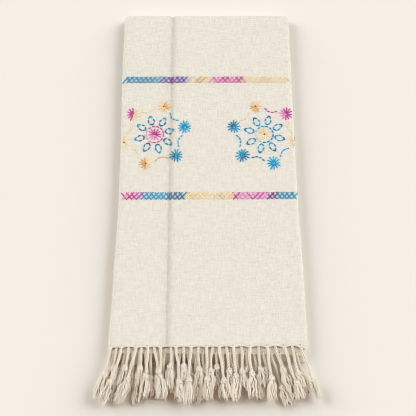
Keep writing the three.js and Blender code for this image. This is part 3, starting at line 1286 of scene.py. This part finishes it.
@dataclass
class Fringe:
    """The twisted cords of one hem, with their knots and tassels."""

    form: ClothForm
    name: str
    rows: tuple[FringeRow, ...]
    tone: tuple[int, int, int]
    # Painted shade on the cords near their roots, where the front hem lies over them; none by default.
    painted_shade_beneath: Triple = (1, 1, 1)
    knot: Knot = Knot()
    inside_hem: float = 0.2
    cord_points: int = 16
    brush_points: int = 7
    knot_varies: float = 3
    tied_varies: float = 5
    tassel_long: float = 20
    tassel_varies: float = 2.5
    tassel_starts: float = 3.6
    brush_from: float = 2.4
    brush_past: float = 1.5
    brush_half: tuple[float, float] = (2.6, 3.3)
    brush_opens: float = 8
    fan_spread: float = 22
    fan_power: float = 1.6
    fan_drift: float = 4.5
    fan_sway: float = 15
    edge_calm: float = 0.6
    half_width: float = 130
    loop_lift: float = 0.9
    beside_crease: float = 1.2
    tone_varies: float = 0.035
    knot_girth: float = 0.96
    brush_varies: float = 0.14
    edging_step: float = 1.6
    edging_girth: float = 0.62
    edging_out: float = 0.1

    def root_x(self, row: FringeRow, k: int) -> float:
        """Return where a cord leaves its hem."""
        roots = self.form.front_roots
        x = mix(roots[k], roots[min(k + 1, len(roots) - 1)], row.between)
        reach = self.form.sides_apart / 2 + self.beside_crease
        away = x - self.form.crease_x
        if row.face > 0 or abs(away) >= reach:
            return x
        return self.form.crease_x + math.copysign(reach, away)

    def line(self, row: FringeRow, k: int) -> CordLine:
        """Return the middle line of a cord.

        Args:
            row: The cord's row.
            k: Its place in the row.
        """
        form = self.form
        place = form.hem_place(row.run)
        x = self.root_x(row, k)
        sink = form.crease_at(place, np.array([x]))[0] if row.face > 0 else 0.0
        height = row.face * form.side_radius - sink - form.droop_at(place, np.array([x]))[0]
        if row.face * place.out_z > 0:
            height += row.face * self.loop_lift
        aside = x / self.half_width
        sway = self.fan_sway * row.varied(k, 10) + row.drift
        lean = self.fan_spread * math.copysign(abs(aside) ** self.fan_power, aside)
        lean += self.fan_drift + sway * (1 - self.edge_calm * abs(aside) ** 3)
        tip = row.knot_at + self.knot_varies * row.varied(k, 0) + self.tassel_starts
        tip += self.tassel_long + self.tassel_varies * row.varied(k, 20)
        root = (x, form.front_hem - (place.y + place.tilt * x), place.z + height * place.out_z)
        return CordLine(row, k, form.front_hem, root, lean, tip)

    def cord(self, row: FringeRow, k: int) -> tuple[np.ndarray, np.ndarray, np.ndarray]:
        """Return the paths of one cord, its knot and its brush.

        Args:
            row: The cord's row.
            k: Its place in the row.

        Returns:
            The cord's points down to its knot, the knot's points and the points along its tassel.
        """
        line = self.line(row, k)
        tied = row.knot_at + self.knot_varies * row.varied(k, 0) + self.tied_varies * row.varied(k, 80)
        cord = line.points(line.root[1] - self.inside_hem, tied - self.knot.reach, self.cord_points)
        knot = self.knot.path(line, tied, math.pi * row.varied(k, 50))
        brush = []
        for s in np.linspace(tied + self.brush_from, line.tip + self.brush_past, self.brush_points):
            half = mix(*self.brush_half, clamp01((s - tied) / self.brush_opens))
            brush.append(line.point(float(s), half))
        return cord, knot, np.array(brush)

    def build(self, finish: Material) -> Object:
        """Make every cord, knot and tassel of this hem, and its edging, as one piece.

        Args:
            finish: The yarn's material.

        Returns:
            The fringe's object.
        """
        cords = PathMesh(self.name + "_cords")
        brushes = PathMesh(self.name + "_brushes")
        base = np.array(linear(*self.tone))
        shade_tint = np.append(self.painted_shade_beneath, 1)
        for row in self.rows:
            for k in range(row.count):
                cord, knot, brush = self.cord(row, k)
                level = 1 - self.tone_varies + self.tone_varies * row.varied(k, 60)
                tone = np.append(base[:3] * level, 1)
                open_share = np.linspace(0, 1, len(cord))[:, None]
                # Painted shade: darker at the root, fading to the yarn's own tone at the knot.
                cords.add(cord, 1.0, tone * (shade_tint + (1 - shade_tint) * open_share))
                cords.add(knot, self.knot_girth, tone)
                brushes.add(brush, 1 + self.brush_varies * row.varied(k, 70), tone)
        parts = [
            cords.build(TwistedCord().tree(), finish),
            brushes.build(BrushOfYarns().tree(), finish),
            self.edging(base, finish),
        ]
        return join(parts, self.name)

    def edging(self, tone: np.ndarray, finish: Material) -> Object:
        """Make the thread that binds the hem's edge, which draws back between the cords.

        Args:
            tone: The thread's colour.
            finish: The yarn's material.

        Returns:
            The edging's object.
        """
        place = self.form.hem_place(self.rows[0].run)
        flat = self.form.section(place)[-1]
        points = self.form.over(place, np.arange(flat[0], flat[-1], self.edging_step), self.edging_out)
        points[:, 1] -= self.edging_out
        paths = PathMesh(self.name + "_edging")
        paths.add(points, self.edging_girth, tone)
        return paths.build(TwistedCord(turn_length=4.2, step=0.8).tree(), finish)


@dataclass(frozen=True)
class ShadeStop:
    """A stretch of thread colours: two shades that take turns, up to a place across the cloth."""

    until: float
    main: Shade
    other: Shade


@dataclass
class Stitching:
    """Stitches on the front of the cloth, gathered before they become thread."""

    form: ClothForm
    name: str
    seed: int
    depth: float = 0.75
    rises_over: float = 1.1
    point_gap: float = 1.3
    least_points: int = 7
    girth_varies: float = 0.06
    tone_varies: float = 0.1
    side_share: float = 0.6

    def __post_init__(self) -> None:
        """Start with no stitches."""
        self.paths = PathMesh(self.name)
        self.random = Random(self.seed)

    def stitch(
        self,
        a: Sequence[float],
        b: Sequence[float],
        shade: Shade,
        height: float = 0.55,
        thick: float = 1.0,
    ) -> None:
        """Sew one straight stitch, which comes out of the cloth at a and goes in at b.

        Args:
            a: Its start: across the flat cloth and along it.
            b: Its end.
            shade: Its colour.
            height: How high its middle lies over the cloth.
            thick: Its thickness beside the others.
        """
        length = math.dist(a, b)
        count = max(self.least_points, round(length / self.point_gap))
        points = []
        for t in 0.5 - 0.5 * np.cos(np.linspace(0, math.pi, count)):
            edge = min(t, 1 - t) * length
            lift = mix(-self.depth, height, smooth(clamp01(edge / self.rises_over)))
            across, y = mix(a[0], b[0], t), mix(a[1], b[1], t)
            points.append(self.form.on_face(y, np.array([across]), np.array([lift]))[0])
        girth = thick * (1 + self.girth_varies * self.random.uniform(-1, 1))
        level = 1 + self.tone_varies * self.random.uniform(-1, 1)
        colour = np.clip(np.append(np.array(shade.colour()[:3]) * level, 1), 0, 1)
        self.paths.add(np.array(points), girth, colour)

    def reach(self, y: float) -> tuple[float, float]:
        """Return how far the front of the cloth goes to each side at y, in flat-cloth distances."""
        _, n, _, _, flat = self.form.section(self.form.front_place(y))
        face = n > -self.form.side_radius * self.side_share
        return float(flat[face].min()), float(flat[face].max())

    def inside(self, *points: Sequence[float], slack: float = 2.5) -> bool:
        """Return whether points are on the front, or just round its sides.

        Args:
            points: The points on the flat cloth.
            slack: How far round its sides they may be.
        """
        for across, y in points:
            low, high = self.reach(y)
            if not low - slack < across < high + slack:
                return False
        return True

    def build(self, finish: Material) -> Object:
        """Turn the stitches into thread and return their object."""
        return self.paths.build(SewnThread().tree(), finish)


@dataclass
class HerringboneBands:
    """Two borders of crossed stitches in thread that changes its colour."""

    form: ClothForm
    pitch: float = 7.0
    height: float = 11.0
    rising: float = 10.4
    falling: float = 8.2
    offset: float = 1.2
    wander: float = 0.25
    round_sides: float = 3
    thick: float = 0.88
    upper_lift: float = 0.8
    lower_lift: float = 0.35
    main_share: float = 0.68
    upper_y: float = 139.9
    lower_y: float = -45
    upper: tuple[ShadeStop, ...] = (
        ShadeStop(-84, Shade.TEAL, Shade.BLUE),
        ShadeStop(-77, Shade.CYAN, Shade.BLUE),
        ShadeStop(-71, Shade.PINK, Shade.LILAC),
        ShadeStop(-35, Shade.NAVY, Shade.PLUM),
        ShadeStop(-15, Shade.GREY_GREEN, Shade.CREAM),
        ShadeStop(4, Shade.GOLD, Shade.OCHRE),
        ShadeStop(55, Shade.MAGENTA, Shade.PINK),
        ShadeStop(140, Shade.GOLD, Shade.CREAM),
    )
    lower: tuple[ShadeStop, ...] = (
        ShadeStop(-96, Shade.MAGENTA, Shade.PINK),
        ShadeStop(-58, Shade.BLUE, Shade.CYAN),
        ShadeStop(-32, Shade.TEAL, Shade.NAVY),
        ShadeStop(35, Shade.GOLD, Shade.CREAM),
        ShadeStop(86, Shade.PINK, Shade.MAGENTA),
        ShadeStop(98, Shade.PLUM, Shade.LILAC),
        ShadeStop(140, Shade.BLUE, Shade.TEAL),
    )

    def sew(self, work: Stitching, y: float, stops: Sequence[ShadeStop]) -> None:
        """Sew one border.

        Args:
            work: Where the stitches are gathered.
            y: The middle of the border along the cloth.
            stops: Its thread's colours from left to right.
        """
        half = self.height / 2
        low, high = work.reach(y)
        layers = ((-1, 0, self.falling, self.lower_lift), (1, self.offset, self.rising, self.upper_lift))
        for k in range(math.floor(low / self.pitch) - 1, math.ceil(high / self.pitch) + 1):
            for lean, offset, span, lift in layers:
                start = k * self.pitch + offset
                ends = [[start, y - lean * half], [start + span, y + lean * half]]
                for end in ends:
                    for axis in (0, 1):
                        end[axis] += work.random.uniform(-1, 1) * self.wander
                if not work.inside(*ends, slack=self.round_sides):
                    continue
                middle = (ends[0][0] + ends[1][0]) / 2
                stop = next(s for s in stops if middle <= s.until)
                shade = stop.main if work.random.random() < self.main_share else stop.other
                work.stitch(*ends, shade, lift, self.thick)

    def build(self, finish: Material) -> Object:
        """Sew both borders as one piece and return their object."""
        work = Stitching(self.form, "herringbone_borders", 11)
        self.sew(work, self.upper_y, self.upper)
        self.sew(work, self.lower_y, self.lower)
        return work.build(finish)


@dataclass(frozen=True)
class Rosette:
    """One round motif: a star in a ring of petals, with small stars evenly round it."""

    across: float
    along: float
    turn: float
    centre: tuple[Shade, ...]
    ring: tuple[Shade, ...]
    petals: tuple[Shade, Shade]
    stars: tuple[tuple[Shade, ...], ...]


@dataclass
class Rosettes:
    """The round motifs between the two borders, in running and straight stitches."""

    form: ClothForm
    stitch: float = 4.4
    gap: float = 2.0
    ends_vary: float = 0.35
    ring_radius: float = 13
    ring_turn: tuple[float, float] = (8, 361)
    petal_count: int = 8
    petal_from: float = 15.5
    petal_to: float = 31
    petal_half: float = 4.6
    star_radius: float = 10.4
    star_hole: float = 1.9
    star_stitches: int = 12
    star_lift: float = 0.45
    star_thick: float = 0.92
    centre_share: float = 0.95
    heart_half: float = 0.9
    heart_lift: float = 1.2
    stars_at: float = 47
    link_radius: float = 37
    link_bulge: float = 5
    link_half_turn: float = 13
    motifs: tuple[Rosette, ...] = (
        Rosette(
            across=-80,
            along=50,
            turn=15,
            centre=(Shade.MAGENTA, Shade.MAGENTA, Shade.PINK),
            ring=(Shade.MAGENTA, Shade.PINK, Shade.MAGENTA),
            petals=(Shade.TEAL, Shade.BLUE),
            stars=(
                (Shade.BLUE, Shade.CYAN),
                (Shade.GOLD, Shade.OCHRE, Shade.GOLD),
                (Shade.GOLD, Shade.MAGENTA),
                (Shade.GOLD, Shade.CREAM),
                (Shade.OCHRE, Shade.GOLD),
                (Shade.BLUE, Shade.TEAL),
            ),
        ),
        Rosette(
            across=84,
            along=50,
            turn=-15,
            centre=(Shade.GOLD, Shade.CREAM),
            ring=(Shade.BLUE, Shade.GREY_GREEN, Shade.TEAL),
            petals=(Shade.BLUE, Shade.TEAL),
            stars=(
                (Shade.GOLD, Shade.OCHRE),
                (Shade.MAGENTA, Shade.MAGENTA, Shade.PINK),
                (Shade.GOLD, Shade.OCHRE, Shade.GOLD),
                (Shade.BLUE, Shade.TEAL),
                (Shade.TEAL, Shade.BLUE),
                (Shade.BLUE, Shade.CYAN),
            ),
        ),
    )

    def run_along(self, work: Stitching, points: np.ndarray, shades: Sequence[Shade]) -> None:
        """Sew running stitches along a line.

        Args:
            work: Where the stitches are gathered.
            points: The line's points on the flat cloth.
            shades: The shades that the stitches take in turn.
        """
        lengths = lengths_along(points)
        count = max(1, round((lengths[-1] + self.gap) / (self.stitch + self.gap)))
        pace = (lengths[-1] + self.gap) / count
        for k in range(count):
            ends = []
            for s in (k * pace, k * pace + pace - self.gap):
                s += work.random.uniform(-self.ends_vary, self.ends_vary)
                ends.append([float(np.interp(s, lengths, points[:, i])) for i in (0, 1)])
            if work.inside(*ends):
                work.stitch(*ends, shades[k * len(shades) // count])

    def star(self, work: Stitching, centre: np.ndarray, shades: Sequence[Shade], radius: float) -> None:
        """Sew a star of straight stitches round a small dark knot.

        Args:
            work: Where the stitches are gathered.
            centre: Its middle on the flat cloth.
            shades: The shades that its thread runs through on the way round.
            radius: How long its stitches reach.
        """
        start = work.random.uniform(0, math.tau)
        for k in range(self.star_stitches):
            angle = start + math.tau * (k + work.random.uniform(-0.1, 0.1)) / self.star_stitches
            reach = radius * (1 + work.random.uniform(-0.1, 0.08))
            way = np.array([math.cos(angle), math.sin(angle)])
            ends = [centre + way * self.star_hole, centre + way * reach]
            if work.inside(*ends):
                shade = shades[k * len(shades) // self.star_stitches]
                work.stitch(*ends, shade, self.star_lift, self.star_thick)
        heart = Shade.TEAL if shades[0] in (Shade.BLUE, Shade.CYAN, Shade.TEAL) else Shade.UMBER
        ends = [centre - (self.heart_half, 0), centre + (self.heart_half, 0.3)]
        if work.inside(*ends):
            work.stitch(*ends, heart, self.heart_lift)

    def sew(self, work: Stitching, motif: Rosette) -> None:
        """Sew one rosette.

        Args:
            work: Where the stitches are gathered.
            motif: Its place and shades.
        """
        middle = np.array([motif.across, motif.along])

        def polar(radius: float | np.ndarray, degrees: float | np.ndarray) -> np.ndarray:
            """Return points round the motif's middle."""
            angle = np.radians(degrees)
            return middle + np.stack([radius * np.cos(angle), radius * np.sin(angle)], axis=-1)

        self.star(work, middle, motif.centre, self.star_radius * self.centre_share)
        self.run_along(work, polar(self.ring_radius, np.linspace(*self.ring_turn, 49)), motif.ring)
        share = np.linspace(0, 1, 13)
        radius = mix(self.petal_from, self.petal_to, share)
        bulge = np.degrees(self.petal_half * np.sin(math.pi * share**0.85) / radius)
        for k in range(self.petal_count):
            way = motif.turn + 360 * k / self.petal_count
            for side in (1, -1):
                self.run_along(work, polar(radius, way + side * bulge), motif.petals)
        bow = np.linspace(-1, 1, 9)
        link = self.link_radius + self.link_bulge * bow**2
        step = 360 / len(motif.stars)
        for k, shades in enumerate(motif.stars):
            way = motif.turn + step * k
            self.star(work, polar(self.stars_at, way), shades, self.star_radius)
            self.run_along(work, polar(link, way + step / 2 + self.link_half_turn * bow), shades[:1])

    def build(self, finish: Material) -> Object:
        """Sew every rosette as one piece and return their object."""
        work = Stitching(self.form, "rosette_stitching", 23)
        for motif in self.motifs:
            self.sew(work, motif)
        return work.build(finish)


@dataclass(frozen=True)
class Sun:
    """An even light: where it comes from, how wide it looks in degrees, its strength and its colour."""

    name: str
    come: Triple
    angle: float
    power: float
    tone: Triple

    def build(self, lit: bpy.types.Collection) -> None:
        """Make the light.

        Args:
            lit: What takes its light, or what doesn't, as each object in it says.
        """
        data = bpy.data.lights.new(self.name, "SUN")
        data.angle = math.radians(self.angle)
        data.energy = self.power
        data.color = self.tone
        obj = new_object(self.name, data)
        x, y, z = self.come
        obj.rotation_euler = (math.acos(z / math.dist(self.come, (0, 0, 0))), 0, math.atan2(x, -y))
        obj.light_linking.receiver_collection = lit


SHAWL_LIGHT = (0.95, 1.04, 1.1)
FLOOR_LIGHT = (0.95, 1.035, 1.095)


@dataclass
class Studio:
    """The pale floor, the soft light and the camera at the photograph's angle."""

    tilt: float = 15
    lens: float = 45
    sensor: float = 36
    distance: float = 744
    look_y: float = -63
    look_z: float = 14
    floor_half: float = 4000
    floor_drop: float = 0.25
    floor_tone: tuple[int, int, int] = (246, 241, 232)
    sky: float = 0.2
    sky_tone: Triple = (1.0, 0.58, 0.32)
    pixel_filter: float = 0.8
    on_shawl: tuple[Sun, ...] = (
        Sun("shawl_key", (0.26, 0.46, 0.85), 20, 0.42, (0.98, 1.0, 1.0)),
        Sun("shawl_right", (0.8, 0.14, 0.42), 60, 2.32, SHAWL_LIGHT),
        Sun("shawl_left", (-0.8, 0.14, 0.42), 60, 2.0, SHAWL_LIGHT),
        Sun("shawl_front", (0, -0.85, 0.5), 50, 0.8, SHAWL_LIGHT),
    )
    on_floor: tuple[Sun, ...] = (
        Sun("floor_key", (0.1, 0.8, 0.4), 40, 0.78, FLOOR_LIGHT),
        Sun("floor_right", (0.75, 0.4, 0.34), 50, 3.3, FLOOR_LIGHT),
        Sun("floor_left", (-0.75, 0.4, 0.34), 50, 2.85, FLOOR_LIGHT),
    )

    def build(self) -> None:
        """Make the floor, lights, world and camera."""
        self.camera()
        self.lights(self.floor())

    def floor(self) -> Object:
        """Make the pale floor, which isn't part of the object, and return it."""
        half, drop = self.floor_half * MM, -self.floor_drop * MM
        corners = [(-half, -half, drop), (half, -half, drop), (half, half, drop), (-half, half, drop)]
        mesh = bpy.data.meshes.new("floor")
        mesh.from_pydata(corners, [], [(0, 1, 2, 3)])
        made, g = new_material("pale_floor")
        g.finish({"Base Color": linear(*self.floor_tone), "Roughness": 0.9, "Specular IOR Level": 0.0})
        mesh.materials.append(made)
        obj = new_object("floor", mesh)
        return obj

    def camera(self) -> None:
        """Make the camera, tilted back from straight down."""
        data = bpy.data.cameras.new("camera")
        data.lens = self.lens
        data.sensor_width = self.sensor
        data.clip_start, data.clip_end = 0.05, 20
        obj = new_object("camera", data)
        angle = math.radians(self.tilt)
        back, up = self.distance * math.sin(angle), self.distance * math.cos(angle)
        obj.location = (0, (self.look_y - back) * MM, (self.look_z + up) * MM)
        obj.rotation_euler = (angle, 0, 0)
        bpy.context.scene.camera = obj

    def lights(self, floor: Object) -> None:
        """Make the shawl's lights, the floor's lights, which cast the shawl's shadow, and the world.

        Args:
            floor: The floor, which takes its own lights.
        """
        for state, suns in (("EXCLUDE", self.on_shawl), ("INCLUDE", self.on_floor)):
            lit = bpy.data.collections.new(suns[0].name)
            lit.objects.link(floor)
            lit.collection_objects[0].light_linking.link_state = state
            for sun in suns:
                sun.build(lit)
        world = bpy.data.worlds.new("studio")
        world.use_nodes = True
        g = Graph(world.node_tree)
        fill = g.add("ShaderNodeBackground", {"Color": (*self.sky_tone, 1), "Strength": self.sky})
        wall = g.add("ShaderNodeBackground", {"Color": linear(*self.floor_tone), "Strength": 1.0})
        seen = g.add("ShaderNodeLightPath").outputs["Is Camera Ray"]
        both = g.add("ShaderNodeMixShader", {0: seen, 1: fill.outputs[0], 2: wall.outputs[0]})
        g.add("ShaderNodeOutputWorld", {"Surface": both.outputs[0]})
        bpy.context.scene.world = world
        bpy.context.scene.view_settings.view_transform = "Standard"
        bpy.context.scene.cycles.filter_width = self.pixel_filter


FRONT_TONE = (255, 246, 229)
BACK_TONE = (255, 245, 226)
# Painted shade for the back cords near their roots, under the front hem.
BACK_ROOT_SHADE = (1.0, 0.97, 0.92)
# Painted shade in the grooves of the cords and inside the tassels.
PAINTED_GROOVE_SHADE = (0.3, 0.17, 0.08)


def report(obj: Object) -> None:
    """Log a piece's name and its number of triangles."""
    obj.data.calc_loop_triangles()
    LOG.info("%s: %d triangles", obj.name, len(obj.data.loop_triangles))


def main() -> None:
    """Build the shawl's pieces around the frame, then the studio."""
    logging.basicConfig(level=logging.INFO, format="%(name)s: %(message)s")
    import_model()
    form = ClothForm()
    Studio().build()

    yarn = YarnFinish("twisted_yarn", groove_shade_tint=PAINTED_GROOVE_SHADE).material()
    sewing = YarnFinish("embroidery_thread", roughness=0.6, sheen=0, fibre=0.08, darkest=0.93, gloss=0)
    thread = sewing.material()

    cloth = WovenCloth(form)
    sheet = cloth.build(WoolFinish().material())
    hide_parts("cloth")
    front = Fringe(form, "front_fringe_yarn", FRONT_ROWS, FRONT_TONE).build(yarn)
    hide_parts("front_fringe")
    back = Fringe(form, "back_fringe_yarn", BACK_ROWS, BACK_TONE, BACK_ROOT_SHADE).build(yarn)
    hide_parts("back_fringe")
    borders = HerringboneBands(form).build(thread)
    rosettes = Rosettes(form).build(thread)
    pieces = (sheet, front, back, borders, rosettes)
    for obj in pieces:
        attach(obj, BODY)
        report(obj)
    LOG.info("flat cloth: %.0f by %.0f mm", cloth.flat_width, cloth.flat_length)

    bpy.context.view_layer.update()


if __name__ == "__main__":
    main()
